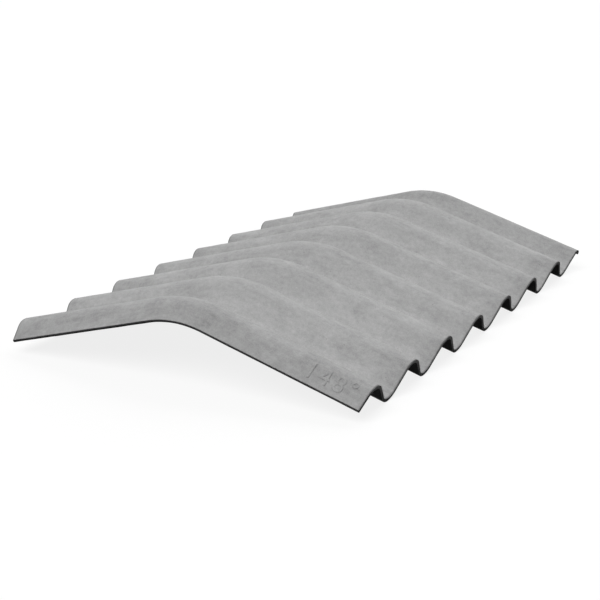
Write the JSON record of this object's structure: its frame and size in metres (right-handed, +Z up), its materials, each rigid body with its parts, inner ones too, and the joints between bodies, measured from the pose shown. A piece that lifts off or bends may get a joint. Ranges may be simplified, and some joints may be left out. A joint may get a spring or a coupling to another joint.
{
  "type": "corrugated roof ridge cap",
  "caption": "One-piece corrugated fibre-cement ridge cap: wavy sheet bent over the ridge, with two wings that lap the roof sheets on both slopes.",
  "frame": {"origin": "on the floor, in the middle of the cap's length along the ridge and of its width across it", "axes": "+X across the ridge, +Y along the ridge from the low edge to the lip, +Z up; the cap lies on the valleys of its two lower ends"},
  "size_m": [0.7226, 1.0846, 0.1472],
  "materials": {
    "fibre_cement": "matt grey cement, as moulded"
  },
  "bodies": {
    "root": {"ridge_cap": "fibre_cement"}
  },
  "joints": []
}
